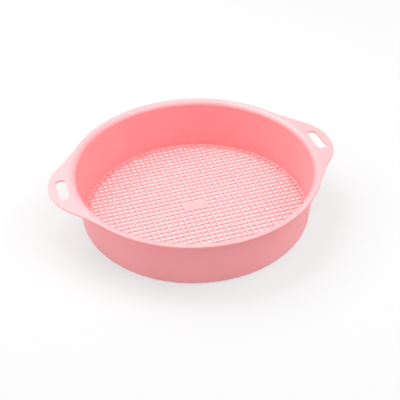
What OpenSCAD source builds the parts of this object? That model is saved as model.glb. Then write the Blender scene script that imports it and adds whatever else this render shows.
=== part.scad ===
// Shallow round garden sieve: a tapered tub with a flat rim flange, two slotted
// handle lugs and a floor of crossing ribs around a blank tag plate.
// The origin is the centre of the foot, +Z points up and the lugs lie on +X and -X.

/* [Tub] */
// Overall height of the sieve
height = 66; // [60:1:75]
// Outer radius of the wall just under the rim
wall_top_r = 142.8; // [142:0.1:143.5]
// How far the wall leans in from the rim down to the base corner
wall_lean = 4.4; // [3:0.1:6]
// Thickness of the wall
wall_t = 2.6; // [2.2:0.1:2.8]
// Radius of the rounded outside corner of the base
corner_r = 6.5; // [5:0.5:7]
// Width of the flat foot under the base corner
foot_w = 1.4; // [1:0.2:3]

/* [Rim] */
// Outer diameter of the flat rim flange
rim_d = 300; // [298:1:306]
// Thickness of the rim flange and of the handle lugs
rim_t = 2.4; // [2:0.1:3]
// Height of the rolled edge that leads from the flange down into the tub
throat_h = 6.5; // [5:0.5:8]

/* [Handle lugs] */
// Distance from the centre of the tub to the tip of a lug
lug_reach = 173; // [172.5:0.5:176]
// Radius of the rounded end of a lug
lug_tip_r = 64; // [60:1:68]
// Radius of the hollow curve between a lug and the rim
flare_r = 300; // [200:20:400]
// Length of a finger slot
slot_l = 38; // [30:1:40]
// Width of a finger slot
slot_w = 11.5; // [9:0.5:12]
// Width of the web between a finger slot and the tip of its lug
slot_web = 10.2; // [7:0.2:10.4]

/* [Sieve floor] */
// Distance between the middles of neighbouring ribs
mesh_pitch = 7.15; // [6:0.05:9]
// Width of a rib
rib_w = 2.3; // [1.8:0.1:3]
// Thickness of each of the two layers of ribs
rib_t = 0.8; // [0.7:0.1:1.3]
// Height of the underside of the ribs above the ground
floor_lift = 1; // [0.6:0.1:1.2]

/* [Tag plate] */
// Openings of the floor that the tag plate covers along X
tag_cells_x = 4; // [2:2:8]
// Openings of the floor that the tag plate covers along Y
tag_cells_y = 2; // [2:2:6]
// How far the tag plate stands above the ribs
tag_rise = 0.3; // [0.1:0.1:0.6]

/* [Hidden] */
// Round shapes are drawn with this many sides, and their rims are true circles
$fn = 180;
// Sides of an arc that turns a corner of a section, and of a long arc of an outline
corner_steps = 8;
outline_steps = 24;
// Clearance added to a cutting shape so that it passes right through
past = 1;

rim_r = rim_d / 2;
rim_z = height - rim_t;
// The wall ends at this height, where the rolled edge of the rim starts
throat_z = height - throat_h;
// The rolled edge is a quarter of an ellipse that ends in a flat land of this width at the outer edge
rim_land = 1.1;
throat_x = rim_r - rim_land;
throat_w = throat_x - (wall_top_r - wall_t);

wall_base_r = wall_top_r - wall_lean;
// Middle of the rounded base corner, below which the flat foot starts
corner_x = wall_base_r - corner_r;
foot_x = corner_x - foot_w;

// The ribs rest on a ledge inside the base corner and end on a steep cone above it
ledge_w = 1.4;
cone_step = 0.3;
ledge_r = corner_x + ledge_w;
floor_r = wall_base_r - wall_t - cone_step;
floor_t = 2 * rib_t;
floor_z = floor_lift + floor_t;

lug_x = lug_reach - lug_tip_r;
// Middle of the circle that hollows the flare, which touches the rim and the lug tip
flare_x = (pow(rim_r + flare_r, 2) - pow(lug_tip_r + flare_r, 2) + pow(lug_x, 2)) / (2 * lug_x);
flare_y = sqrt(pow(rim_r + flare_r, 2) - pow(flare_x, 2));
// The flare starts a few degrees round this circle, where the plate has a blunt edge
flare_trim = 1.4;
flare_start = 180 + atan2(flare_y, flare_x) + flare_trim;
flare_end = 180 + atan2(flare_y, flare_x - lug_x);
// Part of the way in to the centre that the outline reaches before the rim trims it
lug_root = 0.94;
slot_x = lug_reach - slot_web - slot_w / 2;
slot_end_y = (slot_l - slot_w) / 2;

tag_x = tag_cells_x * mesh_pitch + rib_w;
tag_y = tag_cells_y * mesh_pitch + rib_w;
rib_count = floor((floor_r - rib_w / 2) / mesh_pitch);

// Points from angle a to angle b on an ellipse about [cx, cy] with half axes rx and ry
function arc(cx, cy, rx, ry, a, b, steps) =
    [for (i = [0:steps]) let (t = a + (b - a) * i / steps) [cx + rx * cos(t), cy + ry * sin(t)]];

// Leaning wall between the base corner and the rim
module side_wall() {
    color("lightcoral")
    rotate_extrude()
    polygon([
        [wall_base_r - wall_t, corner_r],
        [wall_base_r, corner_r],
        [wall_top_r, throat_z],
        [wall_top_r - wall_t, throat_z],
    ]);
}

// Flange that rolls over from a flat land at its outer edge down onto the wall
module rim_flange() {
    color("pink")
    rotate_extrude()
    polygon(concat(
        arc(throat_x, throat_z, throat_w, throat_h, 180, 90, corner_steps),
        [[rim_r, height], [rim_r, rim_z]],
        arc(throat_x, throat_z, throat_w - wall_t, throat_h - rim_t, 90, 180, corner_steps)));
}

// Half of the outline of a lug, from under the rim along the flare to the tip
function lug_half() = let (
    flare = arc(flare_x, flare_y, flare_r, flare_r, flare_start, flare_end, outline_steps),
    tip = arc(lug_x, 0, lug_tip_r, lug_tip_r, flare_end - 180, 0, outline_steps))
    concat([flare[0] * lug_root], flare, [for (i = [1:outline_steps]) tip[i]]);

function mirrored(points) = [for (i = [len(points) - 2:-1:0]) [points[i][0], -points[i][1]]];

module finger_slot() {
    polygon(concat(
        arc(slot_x, slot_end_y, slot_w / 2, slot_w / 2, 0, 180, corner_steps),
        arc(slot_x, -slot_end_y, slot_w / 2, slot_w / 2, 180, 360, corner_steps)));
}

// Flat plate on the +X side of the rim, level with the flange
module handle_lug() {
    translate([0, 0, rim_z])
    linear_extrude(rim_t)
    difference() {
        polygon(concat(lug_half(), mirrored(lug_half())));
        circle(rim_r);
        finger_slot();
    }
}

module handle_lug_right() {
    color("pink")
    handle_lug();
}

module handle_lug_left() {
    color("pink")
    mirror([1, 0, 0])
    handle_lug();
}

// Rounded corner with the flat foot below it and the ledge that carries the ribs
module base_ring() {
    color("lightcoral")
    rotate_extrude()
    polygon(concat(
        [[foot_x, 0]],
        arc(corner_x, corner_r, corner_r, corner_r, 270, 360, corner_steps),
        [[wall_base_r - wall_t, corner_r],
         [floor_r, floor_z],
         [ledge_r, floor_lift],
         [foot_x, floor_lift]]));
}

// Block of the tag plate, from the underside of the floor to a height above the ribs
module tag_block(rise) {
    translate([-tag_x / 2, -tag_y / 2, floor_lift])
    cube([tag_x, tag_y, floor_t + rise]);
}

// One layer of parallel ribs at a height, turned about Z and trimmed to the cone
module rib_layer(z, turn) {
    difference() {
        intersection() {
            rotate([0, 0, turn])
            for (i = [-rib_count:rib_count])
                translate([-floor_r, i * mesh_pitch - rib_w / 2, z])
                cube([2 * floor_r, rib_w, rib_t]);
            translate([0, 0, floor_lift])
            cylinder(h = floor_t, r1 = ledge_r, r2 = floor_r);
        }
        tag_block(past);
    }
}

// Upper layer, whose ribs run from lug to lug
module long_ribs() {
    color("pink")
    rib_layer(floor_lift + rib_t, 0);
}

// Lower layer, whose ribs run across
module cross_ribs() {
    color("pink")
    rib_layer(floor_lift, 90);
}

module tag_plate() {
    color("mistyrose")
    tag_block(tag_rise);
}

side_wall();
rim_flange();
handle_lug_left();
handle_lug_right();
base_ring();
long_ribs();
cross_ribs();
tag_plate();
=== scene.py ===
"""Round pink plastic garden sieve: a tub with a rim, two slotted lugs and a floor of crossing ribs."""

import math

import bmesh
import bpy
from mathutils import Matrix, Vector


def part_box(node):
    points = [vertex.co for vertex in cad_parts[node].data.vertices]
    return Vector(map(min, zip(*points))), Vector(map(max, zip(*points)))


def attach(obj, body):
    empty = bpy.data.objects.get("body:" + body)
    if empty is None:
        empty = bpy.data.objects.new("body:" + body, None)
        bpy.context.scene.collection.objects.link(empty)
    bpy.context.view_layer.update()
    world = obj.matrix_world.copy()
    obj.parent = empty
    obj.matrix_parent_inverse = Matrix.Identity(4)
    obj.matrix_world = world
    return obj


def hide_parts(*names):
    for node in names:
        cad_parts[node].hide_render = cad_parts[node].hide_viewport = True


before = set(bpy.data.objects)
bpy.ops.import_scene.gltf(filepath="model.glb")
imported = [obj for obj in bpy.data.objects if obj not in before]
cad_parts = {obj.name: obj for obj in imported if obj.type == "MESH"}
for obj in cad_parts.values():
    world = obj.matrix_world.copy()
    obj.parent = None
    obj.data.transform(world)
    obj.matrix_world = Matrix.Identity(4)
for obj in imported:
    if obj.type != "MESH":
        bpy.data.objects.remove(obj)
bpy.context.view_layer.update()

MM = 0.001
BODY = "root"

# Camera: its angle round the sieve, its distance from the point it looks at, and its lens
CAMERA_AZIMUTH = math.radians(-16.84)
CAMERA_ELEVATION = math.radians(37.94)
CAMERA_ROLL = math.radians(-1.36)
CAMERA_DISTANCE = 979 * MM
CAMERA_TARGET = Vector((5.2, -1.6, 11.1)) * MM
CAMERA_LENS = 72.0
CAMERA_SENSOR = 36.0

# Soft lights, all of one size and at one distance from the sieve: azimuth and elevation in degrees, and watts
SOFTBOX_SIZE = 1200 * MM
SOFTBOX_DISTANCE = 1600 * MM
SOFTBOXES = {
    "high_right": (60, 60, 20),
    "high_behind": (-150, 60, 26),
    "low_left": (-90, 28, 6),
}

# Pale surroundings, and a square grey floor that glows
WORLD_STRENGTH = 0.5
STAGE_HALF = 4.0
STAGE_GREY = (0.2, 0.2, 0.2)
STAGE_GLOW = 0.62

# Plastic: the two pinks that its pigment drifts between, and how rough its skin is
PINK = (0.90, 0.36, 0.37)
DEEPER_PINK = (0.86, 0.31, 0.33)
SATIN_ROUGHNESS = 0.45
SMOOTH_ROUGHNESS = 0.38
ROUGHNESS_DRIFT = 0.06
PLASTIC_IOR = 1.49

# Scales of the noises that vary the plastic, from broad clouds of pigment to the fine skin of the mould
CLOUD_SCALE = 14.0
MARK_SCALE = 60.0
SPECKLE_SCALE = 900.0
GRAIN_SCALE = 1600.0
GRAIN_DEPTH = 0.05 * MM
GRAIN_STRENGTH = 0.35

# Light that travels inside the plastic, which is furthest for red
GLOW_WEIGHT = 0.35
GLOW_RADIUS = (1.0, 0.45, 0.45)
GLOW_REACH = 3 * MM

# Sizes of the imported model, from the boxes of its nodes
RIM_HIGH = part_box("rim_flange")[1]
LUG_LOW, LUG_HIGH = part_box("handle_lug_right")
WALL_LOW, WALL_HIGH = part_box("side_wall")
BASE_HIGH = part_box("base_ring")[1]
CROSS_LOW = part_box("cross_ribs")[0]
LONG_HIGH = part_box("long_ribs")[1]
TAG_LOW, TAG_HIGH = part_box("tag_plate")

# The wall leans out from the base corner up to the rolled edge of the rim
WALL_T = 2.6 * MM
LEAN = math.atan2(WALL_HIGH.x - BASE_HIGH.x, WALL_HIGH.z - WALL_LOW.z)

# The rim rolls over from its rounded outer edge into the tub, on an ellipse above and a smaller one below
TOP_Z = RIM_HIGH.z
RIM_R = RIM_HIGH.x
RIM_UNDER_Z = LUG_LOW.z
RIM_EDGE_R = 1.1 * MM
THROAT_X = RIM_R - RIM_EDGE_R
THROAT_W = THROAT_X - (WALL_HIGH.x - WALL_T)
THROAT_H = TOP_Z - WALL_HIGH.z
UNDER_W = THROAT_X - WALL_HIGH.x
UNDER_H = RIM_UNDER_Z - WALL_HIGH.z

# Base corner with a flat foot, and the ledge inside it that carries the ribs
CORNER_R = WALL_LOW.z
CORNER_X = BASE_HIGH.x - CORNER_R / math.cos(LEAN)
FOOT_W = 1.4 * MM
FOOT_EDGE = 0.2 * MM
LEDGE_W = 1.4 * MM

# Lug outline: a round tip and, on each side, a hollow flare that touches the tip and the rim
LUG_TIP_R = 64 * MM
LUG_X = LUG_HIGH.x - LUG_TIP_R
FLARE_R = 300 * MM
FLARE_REACH = RIM_R + FLARE_R
FLARE_X = (FLARE_REACH ** 2 - (LUG_TIP_R + FLARE_R) ** 2 + LUG_X ** 2) / (2 * LUG_X)
FLARE_Y = math.sqrt(FLARE_REACH ** 2 - FLARE_X ** 2)
FLARE_TURN = math.atan2(FLARE_Y, FLARE_X)
FLARE_END = math.atan2(FLARE_Y, FLARE_X - LUG_X)
SLOT_L = 38 * MM
SLOT_W = 11.5 * MM
SLOT_WEB = 10.2 * MM
SLOT_X = LUG_HIGH.x - SLOT_WEB - SLOT_W / 2
SLOT_END_Y = (SLOT_L - SLOT_W) / 2
SLOT_EDGE_R = 0.5 * MM

# Floor of ribs: the tag plate covers four openings one way and two the other
TAG_CELLS = (4, 2)
TAG_SIZE = TAG_HIGH - TAG_LOW
MESH_PITCH = (TAG_SIZE.x - TAG_SIZE.y) / (TAG_CELLS[0] - TAG_CELLS[1])
RIB_W = TAG_SIZE.y - TAG_CELLS[1] * MESH_PITCH
RIB_TOP_W = RIB_W - 0.2 * MM
RIB_EDGE_R = 0.35 * MM
RIB_CHAMFER = 0.15 * MM
FLOOR_LOW_Z = CROSS_LOW.z
FLOOR_HIGH_Z = LONG_HIGH.z
# Ribs run this far into the wall and the tag plate, and cross ribs lie this much inside the long ones
RIB_BITE = 0.4 * MM
CROSS_INSET = 0.04 * MM
TAG_CORNER_R = 1.2 * MM
TAG_EDGE_R = 0.3 * MM

# Sides of a full turn of the tub, of a long arc of the lug outline and of a rounded corner
TURN_STEPS = 360
OUTLINE_STEPS = 40
CORNER_STEPS = 8
THROAT_STEPS = 16
EDGE_STEPS = 4
SHARP_ANGLE = math.radians(40)


def polar(radius, turn):
    return Vector((radius * math.cos(turn), radius * math.sin(turn)))


def arc(centre, radius, start, end, steps):
    """Points from angle start to angle end on a circle, in radians, both ends included."""
    turns = [start + (end - start) * i / steps for i in range(steps + 1)]
    return [Vector(centre) + polar(radius, turn) for turn in turns]


def lift(point, z):
    return Vector((point.x, point.y, z))


def make_piece(name, bm, material):
    """Turns a bmesh into a smooth piece that rides on the body and stands for the CAD node of its name."""
    bmesh.ops.recalc_face_normals(bm, faces=bm.faces)
    mesh = bpy.data.meshes.new(name)
    bm.to_mesh(mesh)
    bm.free()
    mesh.shade_smooth()
    mesh.set_sharp_from_angle(angle=SHARP_ANGLE)
    mesh.materials.append(material)
    piece = bpy.data.objects.new(name + "_piece", mesh)
    bpy.context.scene.collection.objects.link(piece)
    normals = piece.modifiers.new("normals", "WEIGHTED_NORMAL")
    normals.keep_sharp = True
    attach(piece, BODY)
    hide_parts(name)
    return piece


def bridge(bm, rows, closed):
    """Joins neighbouring rows of vertices with quads, and the last row with the first where closed."""
    last = len(rows) if closed else len(rows) - 1
    for i in range(last):
        row, following = rows[i], rows[(i + 1) % len(rows)]
        for j in range(len(row) - 1):
            bm.faces.new((row[j], following[j], following[j + 1], row[j + 1]))


def closed_row(bm, points):
    """Vertices of a closed section, with the first one again at the end."""
    row = [bm.verts.new(point) for point in points]
    return row + row[:1]


def revolved(section):
    """Ring whose section is a closed outline of (radius, height) points."""
    bm = bmesh.new()
    turns = [math.tau * i / TURN_STEPS for i in range(TURN_STEPS)]
    rows = [closed_row(bm, [lift(polar(p[0], turn), p[1]) for p in section]) for turn in turns]
    bridge(bm, rows, closed=True)
    return bm


def rounded_edge(point, normal, low, high, radius):
    """Points over a plate's rounded edge, from top face to underside, at one point of its outline."""
    quarter = [math.radians(90) * i / EDGE_STEPS for i in range(EDGE_STEPS + 1)]
    over = [(radius * (1 - math.sin(a)), radius * (1 - math.cos(a))) for a in quarter]
    top = [lift(point - normal * inset, high - drop) for inset, drop in over]
    under = [lift(point - normal * inset, low + drop) for inset, drop in reversed(over)]
    return top + under


def square_edge(point, normal, low, high, radius):
    """As many points as rounded_edge gives, over a square edge with the same two ends."""
    half = EDGE_STEPS // 2
    over = [(radius * (1 - i / half), 0) for i in range(half)]
    over += [(0, radius * i / half) for i in range(half + 1)]
    top = [lift(point - normal * inset, high - drop) for inset, drop in over]
    under = [lift(point - normal * inset, low + drop) for inset, drop in reversed(over)]
    return top + under


# Tub

def build_side_wall(material):
    section = [
        (BASE_HIGH.x - WALL_T, WALL_LOW.z),
        (BASE_HIGH.x, WALL_LOW.z),
        (WALL_HIGH.x, WALL_HIGH.z),
        (WALL_HIGH.x - WALL_T, WALL_HIGH.z),
    ]
    return make_piece("side_wall", revolved(section), material)


def build_base_ring(material):
    foot_x = CORNER_X - FOOT_W
    floor_drop = WALL_LOW.z - FLOOR_HIGH_Z
    section = arc((CORNER_X, CORNER_R), CORNER_R, -math.pi / 2, -LEAN, CORNER_STEPS)
    section += [
        (BASE_HIGH.x, WALL_LOW.z),
        (BASE_HIGH.x - WALL_T, WALL_LOW.z),
        (BASE_HIGH.x - WALL_T - floor_drop * math.tan(LEAN), FLOOR_HIGH_Z),
        (CORNER_X + LEDGE_W, FLOOR_LOW_Z),
        (foot_x, FLOOR_LOW_Z),
        (foot_x, FOOT_EDGE),
        (foot_x + FOOT_EDGE, 0),
    ]
    return make_piece("base_ring", revolved(section), material)


# Rim and lugs

def flare_point(angle):
    """Point and outward normal on the right lug's upper flare, an angle round from where it meets the rim."""
    turn = FLARE_TURN + math.pi + angle
    point = Vector((FLARE_X, FLARE_Y)) + polar(FLARE_R, turn)
    return point, -polar(1, turn)


def lug_start():
    """Angle round the flare at which the lug is just wide enough for its rounded edge."""
    reach = RIM_R + RIM_EDGE_R
    cosine = (FLARE_REACH ** 2 + FLARE_R ** 2 - reach ** 2) / (2 * FLARE_REACH * FLARE_R)
    return math.acos(cosine)


def root_turn():
    """Angle round the tub at which the lug's flat face starts at the edge of the rim."""
    point, normal = flare_point(lug_start())
    inner = point - normal * RIM_EDGE_R
    return math.atan2(inner.y, inner.x)


def root_turns():
    """Angles across the right lug, where the rim is joined to it, from the -Y side to the +Y side."""
    end = root_turn()
    return [end * i / OUTLINE_STEPS for i in range(-OUTLINE_STEPS, OUTLINE_STEPS + 1)]


def quarter_columns():
    """Angle, outline point, normal and edge for each section of the rim, from the middle of a lug to +Y."""
    columns = [(turn, polar(RIM_R, turn), polar(1, turn), square_edge)
               for turn in root_turns()[OUTLINE_STEPS:]]
    for i in range(EDGE_STEPS, 0, -1):
        point, normal = flare_point(lug_start() * i / EDGE_STEPS)
        columns.append((math.atan2(point.y, point.x), point, normal, rounded_edge))
    steps = TURN_STEPS // 6
    for i in range(steps + 1):
        turn = FLARE_TURN + (math.pi / 2 - FLARE_TURN) * i / steps
        columns.append((turn, polar(RIM_R, turn), polar(1, turn), rounded_edge))
    return columns


def mirrored_x(columns):
    flip = Vector((-1, 1))
    return [(math.pi - turn, point * flip, normal * flip, edge) for turn, point, normal, edge in columns]


def turned_over(columns):
    return [(turn + math.pi, -point, -normal, edge) for turn, point, normal, edge in columns]


def quarter_ellipse(width, height):
    """Points of the rim's section over a quarter of an ellipse, from the level part down to the wall."""
    turns = [math.pi / 2 * (1 + i / THROAT_STEPS) for i in range(THROAT_STEPS + 1)]
    middle = Vector((THROAT_X, WALL_HIGH.z))
    return [middle + Vector((width * math.cos(turn), height * math.sin(turn))) for turn in turns]


def build_rim_flange(material):
    bm = bmesh.new()
    throat = quarter_ellipse(THROAT_W, THROAT_H)[::-1]
    under = quarter_ellipse(UNDER_W, UNDER_H)
    quarter = quarter_columns()
    half = quarter + mirrored_x(quarter)[-2:0:-1]
    rows = []
    for turn, point, normal, edge in half + turned_over(half):
        points = [lift(polar(p.x, turn), p.y) for p in throat]
        points += edge(point, normal, RIM_UNDER_Z, TOP_Z, RIM_EDGE_R)
        points += [lift(polar(p.x, turn), p.y) for p in under]
        rows.append(closed_row(bm, points))
    bridge(bm, rows, closed=True)
    return make_piece("rim_flange", bm, material)


def lug_outline():
    """Points and outward normals round the free edge of the right lug, from its +Y root to its -Y root."""
    start = lug_start()
    end = FLARE_END - FLARE_TURN
    half = [flare_point(start + (end - start) * i / OUTLINE_STEPS) for i in range(OUTLINE_STEPS + 1)]
    for i in range(1, OUTLINE_STEPS + 1):
        normal = polar(1, FLARE_END * (1 - i / OUTLINE_STEPS))
        half.append((Vector((LUG_X, 0)) + normal * LUG_TIP_R, normal))
    flip = Vector((1, -1))
    return half + [(point * flip, normal * flip) for point, normal in half[-2::-1]]


def slot_outline():
    """Points round the finger slot, with the normals that point out of the plate into the slot."""
    outline = []
    for side in (1, -1):
        for i in range(2 * CORNER_STEPS + 1):
            out = polar(1, side * math.pi / 2 - math.pi / 2 + math.pi * i / (2 * CORNER_STEPS))
            outline.append((Vector((SLOT_X, side * SLOT_END_Y)) + out * SLOT_W / 2, -out))
    return outline


def outline_rows(bm, outline, low, high, radius):
    return [[bm.verts.new(p) for p in rounded_edge(point, normal, low, high, radius)]
            for point, normal in outline]


def fill_between(bm, *chains):
    """Fills a flat face bounded by chains of vertices, where a second chain is a hole."""
    edges = []
    for chain in chains:
        for a, b in zip(chain, chain[1:] + chain[:1]):
            edges.append(bm.edges.get((a, b)) or bm.edges.new((a, b)))
    bmesh.ops.triangle_fill(bm, use_beauty=True, edges=edges)


def build_handle_lug(name, side, material):
    """Flat plate beyond the rim with a finger slot through it. side is 1 for +X and -1 for -X."""
    bm = bmesh.new()
    edge = outline_rows(bm, lug_outline(), RIM_UNDER_Z, TOP_Z, RIM_EDGE_R)
    hole = outline_rows(bm, slot_outline(), RIM_UNDER_Z, TOP_Z, SLOT_EDGE_R)
    root = [[bm.verts.new(lift(polar(RIM_R, turn), z)) for z in (TOP_Z, RIM_UNDER_Z)]
            for turn in root_turns()]
    bridge(bm, edge, closed=False)
    bridge(bm, hole, closed=True)
    bridge(bm, root, closed=False)
    for row, corner in ((edge[0], root[-1]), (edge[-1], root[0])):
        bm.faces.new(row + corner[::-1])
    for i in (0, -1):
        fill_between(bm, [row[i] for row in edge + root], [row[i] for row in hole])
    bmesh.ops.scale(bm, vec=(side, 1, 1), verts=bm.verts)
    return make_piece(name, bm, material)


# Floor

def rib_section(low, high):
    """Points across a rib: chamfered below, drawn in towards the top and rounded there."""
    half, top_half = RIB_W / 2, RIB_TOP_W / 2
    right = [(half - RIB_CHAMFER, low), (half, low + RIB_CHAMFER)]
    right += arc((top_half - RIB_EDGE_R, high - RIB_EDGE_R), RIB_EDGE_R, 0, math.pi / 2, EDGE_STEPS)
    return [tuple(p) for p in right] + [(-p[0], p[1]) for p in reversed(right)]


def rib_spans(offset, gap_half_length, gap_half_width):
    """Pairs of signs and limits between which a rib runs: one whole span, or two beside the tag plate."""
    if abs(offset) > gap_half_width:
        return [(-1, None, 1, None)]
    inner = gap_half_length - RIB_BITE
    return [(-1, None, -1, inner), (1, inner, 1, None)]


def rib_end(across, sign, limit):
    """How far along a rib its end lies at a place across the floor: on the wall's circle, or at a limit."""
    if limit is not None:
        return sign * limit
    return sign * math.sqrt((LONG_HIGH.x + RIB_BITE) ** 2 - across ** 2)


def build_ribs(name, low, high, along_y, material):
    """One layer of parallel ribs, along X or along Y."""
    bm = bmesh.new()
    gap = (TAG_HIGH.y, TAG_HIGH.x) if along_y else (TAG_HIGH.x, TAG_HIGH.y)
    count = int((LONG_HIGH.x - RIB_W / 2) / MESH_PITCH)
    for i in range(-count, count + 1):
        offset = i * MESH_PITCH
        for first, first_limit, second, second_limit in rib_spans(offset, *gap):
            ends = []
            for sign, limit in ((first, first_limit), (second, second_limit)):
                section = [(offset + u, z) for u, z in rib_section(low, high)]
                points = [(rib_end(across, sign, limit), across, z) for across, z in section]
                ends.append([bm.verts.new(p) for p in points])
            bridge(bm, [end + end[:1] for end in ends], closed=False)
            for end in ends:
                bm.faces.new(end)
    if along_y:
        bmesh.ops.rotate(bm, verts=bm.verts, matrix=Matrix.Rotation(math.pi / 2, 3, "Z"))
    return make_piece(name, bm, material)


def tag_outline():
    """Points and normals round the tag plate, a rectangle with rounded corners."""
    outline = []
    inner = Vector((TAG_HIGH.x - TAG_CORNER_R, TAG_HIGH.y - TAG_CORNER_R))
    for corner, signs in enumerate(((1, 1), (-1, 1), (-1, -1), (1, -1))):
        for i in range(EDGE_STEPS + 1):
            normal = polar(1, math.pi / 2 * (corner + i / EDGE_STEPS))
            outline.append((inner * Vector(signs) + normal * TAG_CORNER_R, normal))
    return outline


def build_tag_plate(material):
    bm = bmesh.new()
    rows = outline_rows(bm, tag_outline(), TAG_LOW.z, TAG_HIGH.z, TAG_EDGE_R)
    bridge(bm, rows, closed=True)
    for i in (0, -1):
        bm.faces.new([row[i] for row in rows])
    return make_piece("tag_plate", bm, material)


# Materials

def node(tree, kind, **inputs):
    """Adds a shader node and sets or links its inputs by name."""
    made = tree.nodes.new(kind)
    for name, value in inputs.items():
        socket = made.inputs[name.replace("_", " ")]
        if isinstance(value, bpy.types.NodeSocket):
            tree.links.new(value, socket)
        else:
            socket.default_value = value
    return made


def noise(tree, place, scale, detail=2.0):
    return node(tree, "ShaderNodeTexNoise", Vector=place, Scale=scale, Detail=detail).outputs["Fac"]


def ramp(tree, value, low, high):
    """Maps a noise value to the span from low to high."""
    made = node(tree, "ShaderNodeMapRange", Value=value, To_Min=low, To_Max=high)
    return made.outputs["Result"]


def moulded_plastic(name, roughness):
    """Moulded plastic: cloudy pigment, fine speckle, a spark-eroded skin and faint handling marks."""
    material = bpy.data.materials.new(name)
    material.use_nodes = True
    tree = material.node_tree
    shader = tree.nodes["Principled BSDF"]
    place = node(tree, "ShaderNodeTexCoord").outputs["Object"]
    clouds = noise(tree, place, CLOUD_SCALE, 3.0)
    speckle = noise(tree, place, SPECKLE_SCALE, 1.0)
    marks = noise(tree, place, MARK_SCALE, 4.0)
    mixed = node(tree, "ShaderNodeMath", Value=clouds)
    mixed.operation = "MULTIPLY"
    tree.links.new(ramp(tree, speckle, 0.8, 1.2), mixed.inputs[1])
    blend = tree.nodes.new("ShaderNodeMix")
    blend.data_type = "RGBA"
    tree.links.new(mixed.outputs[0], blend.inputs["Factor"])
    blend.inputs[6].default_value = (*PINK, 1)
    blend.inputs[7].default_value = (*DEEPER_PINK, 1)
    tree.links.new(blend.outputs[2], shader.inputs["Base Color"])
    rough = ramp(tree, marks, roughness - ROUGHNESS_DRIFT, roughness + ROUGHNESS_DRIFT)
    tree.links.new(rough, shader.inputs["Roughness"])
    grain = noise(tree, place, GRAIN_SCALE, 2.0)
    bump = node(tree, "ShaderNodeBump", Height=grain, Strength=GRAIN_STRENGTH, Distance=GRAIN_DEPTH)
    tree.links.new(bump.outputs["Normal"], shader.inputs["Normal"])
    shader.inputs["IOR"].default_value = PLASTIC_IOR
    shader.inputs["Subsurface Weight"].default_value = GLOW_WEIGHT
    shader.inputs["Subsurface Radius"].default_value = GLOW_RADIUS
    shader.inputs["Subsurface Scale"].default_value = GLOW_REACH
    return material


def floor_paint():
    """Matt grey that also glows evenly, as the top of a light table does."""
    material = bpy.data.materials.new("studio_floor")
    material.use_nodes = True
    shader = material.node_tree.nodes["Principled BSDF"]
    shader.inputs["Base Color"].default_value = (*STAGE_GREY, 1)
    shader.inputs["Roughness"].default_value = 0.8
    shader.inputs["Specular IOR Level"].default_value = 0.0
    shader.inputs["Emission Color"].default_value = (1, 1, 1, 1)
    shader.inputs["Emission Strength"].default_value = STAGE_GLOW
    return material


# Studio

def build_floor():
    """Wide flat floor that the sieve stands on."""
    signs = ((-1, -1), (1, -1), (1, 1), (-1, 1))
    bm = bmesh.new()
    bm.faces.new([bm.verts.new((x * STAGE_HALF, y * STAGE_HALF, 0)) for x, y in signs])
    mesh = bpy.data.meshes.new("studio_floor")
    bm.to_mesh(mesh)
    bm.free()
    mesh.materials.append(floor_paint())
    floor = bpy.data.objects.new("studio_floor", mesh)
    bpy.context.scene.collection.objects.link(floor)


def direction(azimuth, elevation):
    """Unit vector towards a place round the sieve. Azimuth 0 is on the -Y side and 90 on the +X side."""
    return Vector((
        math.sin(azimuth) * math.cos(elevation),
        -math.cos(azimuth) * math.cos(elevation),
        math.sin(elevation),
    ))


def build_camera():
    back = direction(CAMERA_AZIMUTH, CAMERA_ELEVATION)
    right = Vector((math.cos(CAMERA_AZIMUTH), math.sin(CAMERA_AZIMUTH), 0))
    up = back.cross(right)
    turned_right = right * math.cos(CAMERA_ROLL) + up * math.sin(CAMERA_ROLL)
    turned_up = up * math.cos(CAMERA_ROLL) - right * math.sin(CAMERA_ROLL)
    data = bpy.data.cameras.new("camera")
    data.lens = CAMERA_LENS
    data.sensor_width = CAMERA_SENSOR
    camera = bpy.data.objects.new("camera", data)
    turned = Matrix((turned_right, turned_up, back)).transposed().to_4x4()
    camera.matrix_world = Matrix.Translation(CAMERA_TARGET + back * CAMERA_DISTANCE) @ turned
    bpy.context.scene.collection.objects.link(camera)
    bpy.context.scene.camera = camera


def build_world():
    """Even pale surroundings, so that no side of the sieve faces the dark."""
    world = bpy.data.worlds.new("studio_world")
    world.use_nodes = True
    background = world.node_tree.nodes["Background"]
    background.inputs["Color"].default_value = (1, 1, 1, 1)
    background.inputs["Strength"].default_value = WORLD_STRENGTH
    bpy.context.scene.world = world


def softbox(name, azimuth, elevation, power):
    """Square area light that faces the sieve, with angles in degrees."""
    data = bpy.data.lights.new(name, "AREA")
    data.size = SOFTBOX_SIZE
    data.energy = power
    light = bpy.data.objects.new(name, data)
    back = direction(math.radians(azimuth), math.radians(elevation))
    light.location = back * SOFTBOX_DISTANCE
    light.rotation_mode = "QUATERNION"
    light.rotation_quaternion = back.to_track_quat("Z", "Y")
    bpy.context.scene.collection.objects.link(light)


build_camera()
bpy.context.scene.view_settings.view_transform = "Standard"
build_world()
for light, (azimuth, elevation, power) in SOFTBOXES.items():
    softbox(light, azimuth, elevation, power)
build_floor()

satin = moulded_plastic("satin_pink", SATIN_ROUGHNESS)
smooth = moulded_plastic("smooth_pink", SMOOTH_ROUGHNESS)

build_side_wall(satin)
build_base_ring(satin)
build_rim_flange(smooth)
build_handle_lug("handle_lug_right", 1, smooth)
build_handle_lug("handle_lug_left", -1, smooth)
build_ribs("long_ribs", FLOOR_LOW_Z, FLOOR_HIGH_Z, False, satin)
build_ribs("cross_ribs", FLOOR_LOW_Z + CROSS_INSET, FLOOR_HIGH_Z - CROSS_INSET, True, satin)
build_tag_plate(smooth)
